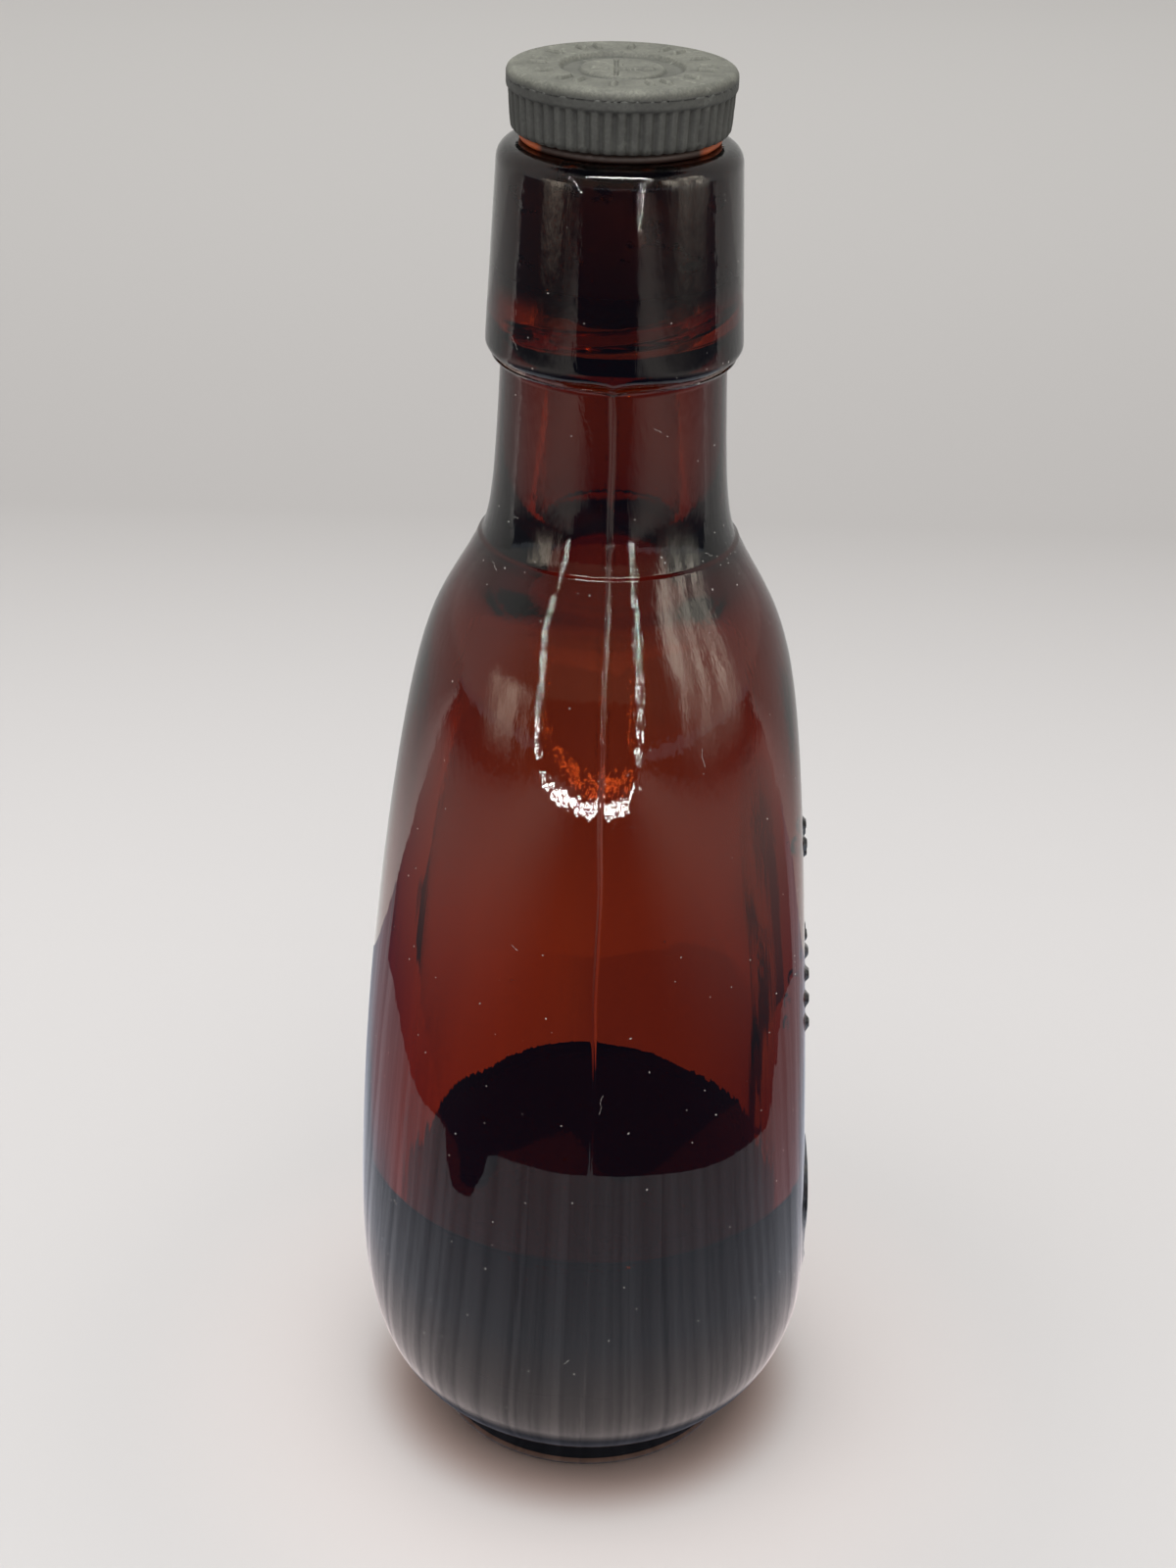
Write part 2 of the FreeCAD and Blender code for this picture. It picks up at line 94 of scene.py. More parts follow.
SKIN = 0.12  # the body is drawn in by this, so that the seams on it stay inside the CAD box
SEAM_RISE = 0.14  # the seams stand this much prouder above the belly
SEAM_WIDTH = 0.22
SEAM_SWAY = 0.35
SEAM_OFFSETS = np.radians([0, 0.15, 0.3, 0.45, 0.6, 0.8, 1.1])  # the mesh's columns beside a seam
CREASE = 147.2  # level of the faint ledge where the shoulder begins under the neck
CREASE_STEP = 0.4

RESIDUE_FOOT = LIP - 22
RESIDUE_TOP = LIP - 3
RESIDUE_DEPTH = (0.15, 0.3)  # how far inside the bore's glass the film's two faces lie
DUST_SPECKS = 420
DUST_FIBRES = 26
DUST_HEIGHT = 0.03
DUST_SEED = 11
DUST_LEVELS = (12.0, LIP - 3.0)
SPECK_SIZES = (0.05, 0.12)
FIBRE_STEPS = (0.25, 0.45)
FIBRE_WIDTH = 0.03
OUTSIDE_ONLY = 12.0  # the bore is nearer to the axis than this
SEAM_CLEAR = 1.2

PANEL_DISTANCE = 31.8
PANEL_MIDDLE = 67.0
PANEL_LEAN = math.radians(3.3)
PANEL_SOFTNESS = 2.4
PANEL_HALF_ANGLE = math.radians(36)
RELIEF = 0.6
RELIEF_BLUR = 0.35
RELIEF_LEVELS = (24, 104)
RING = (-31.0, 9.85, 0.75)  # place up the panel, radius and half width
DIAMOND = 4.4
ARCH = (7.0, 9.5, 9)  # place up the panel, radius and number of beads
CLUSTER = (33.0, 2.2, 4)
BEAD = 0.9

PITCH = 7.4
GLASS_THREAD = {"start": LIP - 25.1, "rise": 14.0, "depth": 2.0, "foot": 1.5, "crest": 0.7}
SCREW_THREAD = {"start": LIP - 21.4, "rise": 12.0, "depth": 2.9, "foot": 1.7, "crest": 0.8}

HEAD_RADIUS = 15.0
RIB_TOP_RADIUS = 14.75
RIB_FOOT_RADIUS = 14.35
RIBS = 53
RIB_DEPTH = 0.42
RIB_POINTS = 9
BAND = 3.1  # the plain band above the ribs
HUB_RADIUS = 8.8
RECESS_RADIUS = 8.0
RECESS_DEPTH = 0.7
RECESS_STEP = 0.4
TOP_DEPTH = 1.6  # what lies less than this under the head's top belongs to its top
TICKS = 30
TICK_RADII = (9.6, 12.2)
TICK_RISE = 0.4
MARK_RISE = 0.3
TOP_SINK = 0.42  # the head's top lies this far under the CAD box's, so that its raised marks stay inside
SHANK_NECK = (9.3, 5.2)
SHANK_RADIUS = 7.0
SEAL_INNER = 9.7
SEAL_GAP = 0.02

DRINK_REACH = 0.8  # how far the drink reaches into the wall, so that no air shows between them
MENISCUS = (0.6, 3.6)  # from the wall, where the drink's surface starts to sink and where it is level
MENISCUS_RISE = 1.0


# ---------------------------------------------------------------- shapes

def spline(bends, count=400):
    """Points of a clamped, even cubic B-spline that has these bends as its control points."""
    degree = 3
    poles = np.array(bends, float)
    spans = len(poles) - degree
    knots = np.r_[[0] * degree, np.arange(spans + 1), [spans] * degree].astype(float)
    at = np.linspace(0, spans - 1e-9, count)
    basis = [((low <= at) & (at < high)).astype(float) for low, high in zip(knots[:-1], knots[1:])]
    for order in range(1, degree + 1):
        raised = []
        for first in range(len(basis) - 1):
            share = np.zeros(count)
            rising = knots[first + order] - knots[first]
            falling = knots[first + order + 1] - knots[first + 1]
            if rising:
                share += (at - knots[first]) / rising * basis[first]
            if falling:
                share += (knots[first + order + 1] - at) / falling * basis[first + 1]
            raised.append(share)
        basis = raised
    return sum(share[:, None] * pole for share, pole in zip(basis, poles))


def rounded(corners, steps=10):
    """A line through corners (radius, level, rounding), with an arc of that rounding at each."""
    points = [corners[0][:2]]
    for before, corner, after in zip(corners, corners[1:], corners[2:]):
        middle = np.array(corner[:2], float)
        toward = np.array(before[:2]) - middle
        onward = np.array(after[:2]) - middle
        toward = toward / np.linalg.norm(toward)
        onward = onward / np.linalg.norm(onward)
        size = corner[2] if len(corner) > 2 else 0
        half = math.acos(np.clip(toward @ onward, -1, 1)) / 2
        if not size or half > math.pi / 2 - 0.01:
            points.append(tuple(middle))
            continue
        bisector = (toward + onward) / np.linalg.norm(toward + onward)
        centre = middle + bisector * size / math.sin(half)
        first = middle + toward * size / math.tan(half) - centre
        last = middle + onward * size / math.tan(half) - centre
        sweep = math.pi - 2 * half
        for mix in np.linspace(0, 1, steps + 1):
            arm = (math.sin((1 - mix) * sweep) * first + math.sin(mix * sweep) * last) / math.sin(sweep)
            points.append(tuple(centre + arm))
    points.append(corners[-1][:2])
    return np.array(points)


def evenly(points, step):
    """The same line with points this far apart; step is a number or a function of the level."""
    points = np.array(points, float)
    lengths = np.hypot(*np.diff(points, axis=0).T)
    keep = np.r_[True, lengths > 1e-6]
    points = points[keep]
    lengths = lengths[lengths > 1e-6]
    middles = (points[1:, 1] + points[:-1, 1]) / 2
    steps = np.array([step(level) for level in middles]) if callable(step) else step
    along = np.r_[0, np.cumsum(lengths / steps)]
    at = np.linspace(0, along[-1], max(2, int(round(along[-1])) + 1))
    return np.stack([np.interp(at, along, points[:, axis]) for axis in (0, 1)], axis=1)


def chain(*runs):
    """Runs joined end to end, each with its own label: ((points, label), ...) to (points, labels)."""
    points, labels = [], []
    for run, label in runs:
        for point in run:
            if not points or np.hypot(*(point - points[-1])) > 1e-4:
                points.append(np.array(point, float))
                labels.append(label)
    return np.array(points), np.array(labels)


def smooth_mesh(name, points, faces):
    mesh = bpy.data.meshes.new(name)
    mesh.from_pydata(points, [], faces)
    mesh.polygons.foreach_set("use_smooth", [True] * len(faces))
    mesh.update()
    return mesh


def turned_mesh(name, profile, angles, shape=None):
    """A closed mesh of a profile that starts and ends on the axis, turned about Z.
    shape(x, y, z) moves the rings' points, in millimetres, as arrays of ring by angle."""
    rings = profile[1:-1]
    radius, level = rings[:, :1], rings[:, 1:]
    x = radius * np.cos(angles)
    y = radius * np.sin(angles)
    z = level + np.zeros_like(x)
    if shape:
        x, y, z = shape(x, y, z)
    count = len(angles)
    points = np.stack([x, y, z], axis=2).reshape(-1, 3)
    points = np.vstack([points, [0, 0, profile[0][1]], [0, 0, profile[-1][1]]]) * MM
    last_ring = (len(rings) - 1) * count
    bottom, top = len(points) - 2, len(points) - 1
    faces = []
    for ring in range(len(rings) - 1):
        low = ring * count
        for column in range(count):
            after = (column + 1) % count
            faces.append((low + column, low + after, low + count + after, low + count + column))
    for column in range(count):
        after = (column + 1) % count
        faces.append((bottom, after, column))
        faces.append((top, last_ring + column, last_ring + after))
    return smooth_mesh(name, points.tolist(), faces)


def ring_mesh(name, section, count, wobble=None):
    """A closed ring of a section, (radius, level) in millimetres, turned about Z."""
    points, faces = [], []
    for radius, level in section:
        for angle in np.arange(count) * TURN / count:
            out = radius + (wobble(angle, radius) if wobble else 0)
            points.append((out * math.cos(angle) * MM, out * math.sin(angle) * MM, level * MM))
    for ring in range(len(section)):
        above = (ring + 1) % len(section)
        for column in range(count):
            after = (column + 1) % count
            faces.append((
                ring * count + column, ring * count + after,
                above * count + after, above * count + column,
            ))
    return smooth_mesh(name, points, faces)


def new_object(name, data):
    thing = bpy.data.objects.new(name, data)
    bpy.context.scene.collection.objects.link(thing)
    return thing


def add_piece(name, mesh, material, node=None):
    """A piece of the bottle, which stands for the CAD node that it names, if it names one."""
    piece = new_object(name, mesh)
    mesh.materials.append(material)
    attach(piece, "root")
    if node:
        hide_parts(node)
    return piece


def pushed_out(x, y, change):
    """Points moved away from the axis by a change of their radius."""
    share = 1 + change / np.maximum(np.hypot(x, y), 0.5)
    return x * share, y * share


def smooth_step(low, high, value):
    share = np.clip((value - low) / (high - low), 0, 1)
    return share * share * (3 - 2 * share)


def smooth_max(first, second, softness):
    """The larger of two surfaces, with a round blend where they meet."""
    share = np.clip(0.5 + 0.5 * (first - second) / softness, 0, 1)
    return second + (first - second) * share + softness * share * (1 - share)


def wave(x, y, z, size, seed):
    """Soft noise between about -1 and 1 over points in millimetres."""
    flat = zip(x.ravel() / size, y.ravel() / size, z.ravel() / size)
    values = [noise.noise((a + seed, b, c - seed)) for a, b, c in flat]
    return np.array(values).reshape(x.shape)


def thread_share(x, y, z, thread):
    """How much of a thread's full depth stands at each point: one tooth that climbs from the +Y side."""
    turn = ((np.arctan2(y, x) - math.pi / 2) / TURN) % 1
    share = np.zeros_like(z)
    for lap in range(int(thread["rise"] / PITCH) + 1):
        climbed = (turn + lap) * PITCH
        away = np.abs(z - thread["start"] - climbed)
        side = smooth_step(thread["foot"], thread["crest"], away)
        ends = smooth_step(0, 0.6, np.minimum(climbed, thread["rise"] - climbed))
        share = np.maximum(share, side * ends)
    return share


# ---------------------------------------------------------------- the glass

def glass_angles():
    """Directions round the axis: close together at the two seams and over the panel."""
    angles = list(np.arange(0, TURN, math.radians(1.6)))
    front = -math.pi / 2
    angles += list(np.arange(front - PANEL_HALF_ANGLE, front + PANEL_HALF_ANGLE, math.radians(0.75)))
    angles = np.array(angles) % TURN
    for seam in (0, math.pi):
        near = np.abs((angles - seam + math.pi) % TURN - math.pi) < math.radians(1.5)
        angles = np.r_[angles[~near], seam + SEAM_OFFSETS, seam - SEAM_OFFSETS[1:]]
    angles = np.sort(angles % TURN)
    apart = np.diff(np.r_[angles, angles[0] + TURN]) > math.radians(0.12)
    return angles[apart]


def relief_share(along, up):
    """The plain relief on the panel: a ring round a diamond, an arch of beads and a small cluster."""
    def disc(distance, radius):
        return smooth_step(radius + RELIEF_BLUR / 2, radius - RELIEF_BLUR / 2, distance)

    ring_place, ring_radius, ring_half = RING
    from_ring = up - ring_place
    share = disc(np.abs(np.hypot(along, from_ring) - ring_radius), ring_half)
    share = np.maximum(share, disc(np.abs(along) + np.abs(from_ring), DIAMOND))
    arch_turns = np.linspace(0, math.pi, ARCH[2])
    cluster_turns = np.arange(CLUSTER[2]) * TURN / CLUSTER[2]
    for (place, radius, _), turns in ((ARCH, arch_turns), (CLUSTER, cluster_turns)):
        for turn in turns:
            away = np.hypot(along - radius * math.cos(turn), up - place - radius * math.sin(turn))
            share = np.maximum(share, disc(away, BEAD))
    return share


def shape_outside(x, y, z):
    """Uneven hand-finished glass: slow waves, two mould seams and the pressed panel with its relief."""
    radius = np.hypot(x, y)
    angle = np.arctan2(y, x)
    sway = wave(np.zeros_like(z), np.zeros_like(z), z, 14.0, 3.0) * SEAM_SWAY
    ridge = np.zeros_like(z)
    for seam in (0, math.pi):
        aside = ((angle - seam + math.pi) % TURN - math.pi) * radius - sway
        ridge += np.exp(-(aside / SEAM_WIDTH) ** 2)
    body = smooth_step(FOOT[1], 12.0, z) * smooth_step(LIP, COLLAR_LEVEL - 4, z)
    slow = wave(x, y, z, 22.0, 1.0) * 0.5 + 0.5
    quick = wave(x, y, z * 0.5, 7.0, 2.0) * 0.5 + 0.5
    proud = SKIN + SEAM_RISE * smooth_step(60, 90, z)
    change = -SKIN - body * (0.06 * slow + 0.02 * quick) + proud * ridge * body
    ledge = smooth_step(CREASE + 0.25, CREASE - 0.25, z) * smooth_step(CREASE - 10, CREASE - 1, z)
    x, y = pushed_out(x, y, change + CREASE_STEP * ledge)

    up = (z - PANEL_MIDDLE) / math.cos(PANEL_LEAN)
    plane = -(PANEL_DISTANCE - (z - PANEL_MIDDLE) * math.tan(PANEL_LEAN))
    on_panel = smooth_step(0.0, 0.8, plane - y)
    flat = smooth_max(y, plane, PANEL_SOFTNESS) - RELIEF * on_panel * relief_share(x, up)
    y = np.where(z < 150, flat, y)
    return x, y, z


def shape_collar(x, y, z):
    """The collar's underside laps over the neck, with a small notch where the seam meets it."""
    angle = np.arctan2(y, x)
    from_seam = np.abs((angle + math.pi / 2) % math.pi - math.pi / 2)
    low = smooth_step(COLLAR_LEVEL + 6, COLLAR_LEVEL + 1, z)
    drop = 0.55 * np.exp(-from_seam / 0.06) + 0.2 * wave(x, y, np.zeros_like(z), 9.0, 5.0)
    change = -0.06 * (wave(x, y, z, 8.0, 6.0) * 0.5 + 0.5) - 0.02
    return *pushed_out(x, y, change), z - low * drop


def shape_inside(x, y, z):
    """The blown inside: slower and larger waves, and streaks that run up the bottle."""
    amount = smooth_step(CAVITY_FLOOR, CAVITY_FLOOR + 20, z) * smooth_step(COLLAR_LEVEL, COLLAR_LEVEL - 15, z)
    slow = wave(x, y, z * 0.6, 16.0, 8.0)
    streaks = wave(x, y, z * 0.12, 6.0, 9.0)
    return *pushed_out(x, y, amount * (0.35 * slow + 0.12 * streaks)), z


def shape_bore(x, y, z):
    """The bore's thread, a little uneven."""
    change = -GLASS_THREAD["depth"] * thread_share(x, y, z, GLASS_THREAD)
    change += 0.1 * wave(x, y, z * 0.3, 5.0, 11.0)
    return *pushed_out(x, y, change), z


def body_step(level):
    """Close rings at the foot's crease and the neck's and where the relief stands, wider ones elsewhere."""
    if level < FOOT[1] + 0.6:
        return 0.15
    if abs(level - CREASE) < 2:
        return 0.12
    return 0.5 if RELIEF_LEVELS[0] < level < RELIEF_LEVELS[1] else 1.1


def collar_step(level):
    """Close rings at the collar's two rounded edges, wider ones between."""
    return 0.2 if level < COLLAR_LEVEL + 3 or level > LIP - 4 else 0.8


def cavity_bends():
    """The inside's bends: the outside's, drawn in by the wall, but for the ledge under the bore."""
    bends = [(radius - WALL, level) for radius, level in OUTSIDE[2:-1]]
    bends[NAPE_BENDS] = INNER_NAPE
    return [(0, CAVITY_FLOOR), (CAVITY_FLAT, CAVITY_FLOOR)] + bends + [(THROAT, THROAT_LEVEL)]


def glass_profile():
    """The whole section of the glass, from the hollow under the foot up the outside and down the inside."""
    neck = OUTSIDE[-1]
    collar = rounded([
        neck, (neck[0], COLLAR_LEVEL + 0.05), (neck[0] + 0.7, COLLAR_LEVEL - 0.35, 0.3),
        (neck[0] + 1.0, COLLAR_LEVEL + 0.25, 0.25), (COLLAR_RADIUS, COLLAR_LEVEL, 1.8),
        (LIP_RADIUS, LIP, 2.5), (BORE, LIP, 0.8), (BORE, BORE_STRAIGHT),
    ])
    bore = rounded([
        (BORE, BORE_STRAIGHT), (BORE, BORE_LEVEL, 2.0), (THROAT, THROAT_LEVEL + 0.4, 1.5),
        (THROAT, THROAT_LEVEL),
    ])
    return chain(
        (evenly(rounded(HOLLOW_FOOT), 0.6), "foot"),
        (evenly(spline(OUTSIDE), body_step), "outside"),
        (evenly(collar, collar_step), "collar"),
        (evenly(bore, 0.35), "bore"),
        (evenly(spline(cavity_bends())[::-1], 1.4), "inside"),
    )


def shape_glass(labels):
    """One shape function for the whole profile: each label's rings go through their own."""
    shapes = {"outside": shape_outside, "collar": shape_collar, "bore": shape_bore, "inside": shape_inside}

    def shape(x, y, z):
        x, y, z = x.copy(), y.copy(), z.copy()
        for label, own in shapes.items():
            rows = labels[1:-1] == label
            x[rows], y[rows], z[rows] = own(x[rows], y[rows], z[rows])
        return x, y, z
    return shape


# ---------------------------------------------------------------- the stopper and its seal

def stopper_height(x, y, z):
    """Plain moulded marks on the head: short ticks round the rim, a bar and a worn slot in the recess."""
    radius = np.hypot(x, y)
    angle = np.arctan2(y, x)
    on_top = smooth_step(HEAD_TOP - TOP_DEPTH, HEAD_TOP - TOP_DEPTH + 0.4, z)
    turn = angle / TURN * TICKS
    width = np.abs(turn % 1 - 0.5) * TURN * radius / TICKS
    skipped = (np.floor(turn) * 7 % 5) < 1.5
    inner, outer = TICK_RADII
    tick = smooth_step(inner, inner + 0.3, radius) * smooth_step(outer, outer - 0.3, radius)
    mark = TICK_RISE * tick * smooth_step(0.45, 0.2, width) * np.where(skipped, 0, 1)
    in_recess = smooth_step(RECESS_RADIUS - 1.2, RECESS_RADIUS - 1.6, radius)
    bar = smooth_step(0.8, 0.5, np.abs(x + 0.9)) * smooth_step(4.2, 3.8, np.abs(y))
    slot = smooth_step(0.4, 0.15, np.abs(y - 0.8)) * smooth_step(4.9, 4.4, np.abs(x))
    mark += in_recess * MARK_RISE * (bar - slot)
    return on_top * mark


def shape_head(x, y, z):
    """Ribs down the side under a plain band, marks on the top, and slightly rough all over."""
    radius = np.hypot(x, y)
    angle = np.arctan2(y, x)
    phase = np.abs((angle * RIBS / TURN) % 1 - 0.5) * 2
    ribbed = smooth_step(HEAD_TOP - BAND, HEAD_TOP - BAND - 0.35, z)
    ribbed = ribbed * smooth_step(RIB_FOOT_RADIUS - 1.6, RIB_FOOT_RADIUS - 0.5, radius)
    gap = smooth_step(0.42, 0.72, phase)
    rough = 0.035 * wave(x, y, z, 0.7, 21.0) + 0.03 * wave(x, y, z, 2.5, 22.0)
    change = -RIB_DEPTH * ribbed * gap - 0.05 + rough
    change = np.where(radius > RIB_FOOT_RADIUS - 2, change, 0)
    lift = stopper_height(x, y, z) + np.where(radius < HEAD_RADIUS - 1, rough - 0.06, 0) - TOP_SINK
    return *pushed_out(x, y, change), np.where(z > HEAD_TOP - TOP_DEPTH, z + lift, z)


def shape_shank(x, y, z):
    """The stopper's thread, a little rough."""
    change = SCREW_THREAD["depth"] * thread_share(x, y, z, SCREW_THREAD)
    change = np.where(np.hypot(x, y) > SHANK_RADIUS - 1, change, 0)
    change += 0.04 * wave(x, y, z, 1.2, 23.0)
    return *pushed_out(x, y, change), z


def head_mesh():
    """The head of the stopper, from the hub inside it round its side to the stepped recess in its top."""
    floor = HEAD_TOP - RECESS_DEPTH
    hub = UNDERSIDE + 0.6
    profile = rounded([
        (0, hub), (HUB_RADIUS, hub), (HUB_RADIUS, UNDERSIDE), (RIB_FOOT_RADIUS, UNDERSIDE, 1.1),
        (RIB_TOP_RADIUS, HEAD_TOP - BAND, 0.2), (HEAD_RADIUS, HEAD_TOP - BAND + 0.15, 0.15),
        (HEAD_RADIUS, HEAD_TOP, 0.95), (RECESS_RADIUS + 0.25, HEAD_TOP, 0.35),
        (RECESS_RADIUS - 0.25, floor, 0.4), (5.6, floor, 0.2),
        (5.3, floor + RECESS_STEP, 0.2), (0, floor + RECESS_STEP),
    ], steps=6)
    angles = np.arange(RIBS * RIB_POINTS) * TURN / (RIBS * RIB_POINTS)
    return turned_mesh("stopper_head", evenly(profile, 0.22), angles, shape_head)


def shank_mesh():
    """The threaded shank under its plain neck, which ends inside the head."""
    neck_radius, neck_length = SHANK_NECK
    shoulder, inside_head = UNDERSIDE - neck_length, UNDERSIDE + 0.9
    profile = rounded([
        (0, SHANK_END), (SHANK_RADIUS, SHANK_END, 1.4), (SHANK_RADIUS, shoulder, 0.3),
        (neck_radius, shoulder, 0.3), (neck_radius, inside_head), (0, inside_head),
    ])
    angles = np.arange(160) * TURN / 160
    return turned_mesh("stopper_shank", evenly(profile, 0.3), angles, shape_shank)


def join_meshes(name, meshes):
    joined = bmesh.new()
    for mesh in meshes:
        joined.from_mesh(mesh)
    result = bpy.data.meshes.new(name)
    joined.to_mesh(result)
    joined.free()
    result.polygons.foreach_set("use_smooth", [True] * len(result.polygons))
    return result


def seal_mesh():
    """A rubber washer, squeezed a little proud at its rim."""
    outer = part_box("seal_ring")[1][0] / MM
    low, high = LIP + SEAL_GAP, UNDERSIDE - SEAL_GAP
    section = [
        (SEAL_INNER, low), (outer - 0.5, low), (outer - 0.1, LIP + 0.3), (outer, LIP + 0.6),
        (outer - 0.1, UNDERSIDE - 0.3), (outer - 0.5, high), (SEAL_INNER, high),
    ]

    def wobble(angle, radius):
        return -0.12 * (noise.noise((math.cos(angle) * 2, math.sin(angle) * 2, radius)) + 1)
    return ring_mesh("seal", section, 180, wobble)


def residue_mesh():
    """A thin dark film of dried drink on the threaded bore, drawn just inside the glass."""
    inner, outer = (BORE + depth for depth in RESIDUE_DEPTH)
    section = [(inner, RESIDUE_FOOT), (outer, RESIDUE_FOOT), (outer, RESIDUE_TOP), (inner, RESIDUE_TOP)]
    return ring_mesh("residue", section, 90)


# ---------------------------------------------------------------- the drink and the dust

def drink_mesh():
    """The cavity's own shape up to the level, let into the wall, with its surface drawn up at the glass."""
    cavity = spline(cavity_bends())
    under = cavity[cavity[:, 1] < DRINK_LEVEL - 0.01]
    under = under + np.array([[DRINK_REACH, 0]]) * smooth_step(0, 6, under[:, :1])
    under[:, 1] -= DRINK_REACH * smooth_step(CAVITY_FLOOR + 12, CAVITY_FLOOR, under[:, 1])
    under[0] = (0, CAVITY_FLOOR - DRINK_REACH)
    edge = under[-1][0]
    level = DRINK_LEVEL - 0.02
    rim = [(edge, level)]
    for share in np.linspace(0, 1, 12):
        inward = MENISCUS[0] + (MENISCUS[1] - MENISCUS[0]) * share
        rim.append((edge - inward, level - MENISCUS_RISE * (1 - math.exp(-4 * share))))
    rim.append((0, level - MENISCUS_RISE))
    profile = np.vstack([evenly(under, 1.4), evenly(rim, 0.5)[1:]])
    angles = np.arange(180) * TURN / 180
    return turned_mesh("drink_left", profile, angles)


def dust_mesh(glass):
    """Dust on the outside: flat specks, and a few bent fibres of slivers laid end to end."""
    pick = random.Random(DUST_SEED)
    lowest, highest = (level * MM for level in DUST_LEVELS)
    outside = []
    for vertex in glass.vertices:
        x, y, z = vertex.co
        facing_out = x * vertex.normal.x + y * vertex.normal.y > OUTSIDE_ONLY * MM
        if lowest < z < highest and facing_out and abs(y) > SEAM_CLEAR * MM:
            outside.append(vertex)
    points, faces = [], []

    def sliver(middle, normal, turn, length, width):
        """A low pyramid on a long diamond; returns the way it points."""
        along = Matrix.Rotation(turn, 3, normal) @ normal.orthogonal().normalized()
        across = normal.cross(along)
        low = len(points)
        points.extend(tuple(middle + step) for step in (
            along * length, across * width, -along * length, -across * width, normal * DUST_HEIGHT * MM,
        ))
        faces.append((low + 3, low + 2, low + 1, low))
        faces.extend((low + side, low + (side + 1) % 4, low + 4) for side in range(4))
        return along

    for number in range(DUST_SPECKS + DUST_FIBRES):
        vertex = pick.choice(outside)
        turn = pick.uniform(0, TURN)
        middle = vertex.co.copy()
        normal = vertex.normal.copy()
        if number < DUST_SPECKS:
            size = pick.uniform(*SPECK_SIZES) * MM
            sliver(middle, normal, turn, size * pick.uniform(1, 2), size)
            continue
        for _ in range(pick.randint(2, 5)):
            length = pick.uniform(*FIBRE_STEPS) * MM
            along = sliver(middle, normal, turn, length, FIBRE_WIDTH * MM)
            middle = middle + along * length * 1.6
            turn += pick.uniform(-0.5, 0.5)
    mesh = bpy.data.meshes.new("dust")
    mesh.from_pydata(points, [], faces)
    return mesh


# ---------------------------------------------------------------- shader nodes

